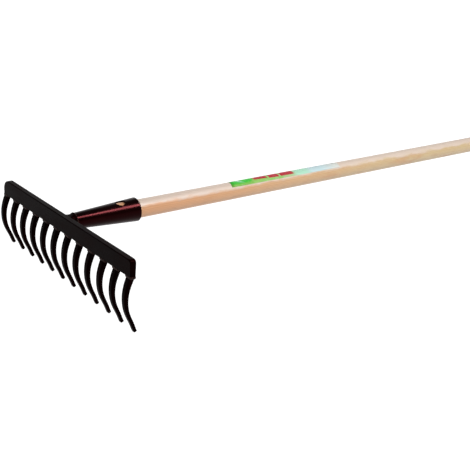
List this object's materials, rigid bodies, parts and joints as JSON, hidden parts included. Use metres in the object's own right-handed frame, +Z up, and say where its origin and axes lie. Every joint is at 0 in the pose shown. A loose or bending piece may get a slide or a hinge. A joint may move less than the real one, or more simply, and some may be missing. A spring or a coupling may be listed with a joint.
{
  "type": "garden rake",
  "caption": "Level-head garden rake: a straight steel bar with curved forged tines, welded to a tapered socket on a long round wooden handle.",
  "frame": {"origin": "on the ground under the middle of the rake's overall box, with the tine tips and the butt of the handle both on the ground", "axes": "+Z up; +X across the head, along the bar; +Y from the head towards the butt of the handle, which slopes down to the ground"},
  "size_m": [0.3634, 1.538, 0.106],
  "materials": {
    "black_lacquer": "gloss black stove lacquer with a faint dark red cast, worn at the edges",
    "weld_bead": "weld bead under black lacquer, rippled and duller than the bar",
    "pole_wood": "pale straight-grained hardwood, turned and left with a thin clear wax",
    "zinc_screw": "zinc-plated steel",
    "printed_label": "thin printed film, green fading to pale"
  },
  "bodies": {
    "root": {"head_bar": "black_lacquer", "tine_01": "black_lacquer", "tine_02": "black_lacquer", "tine_03": "black_lacquer", "tine_04": "black_lacquer", "tine_05": "black_lacquer", "tine_06": "black_lacquer", "tine_07": "black_lacquer", "tine_08": "black_lacquer", "tine_09": "black_lacquer", "tine_10": "black_lacquer", "tine_11": "black_lacquer", "tine_12": "black_lacquer", "tine_welds": "weld_bead", "bar_weld": "weld_bead", "socket_neck": "black_lacquer", "socket_weld": "weld_bead", "socket": "black_lacquer", "socket_screw": "zinc_screw", "handle": "pole_wood", "label": "printed_label"}
  },
  "joints": []
}
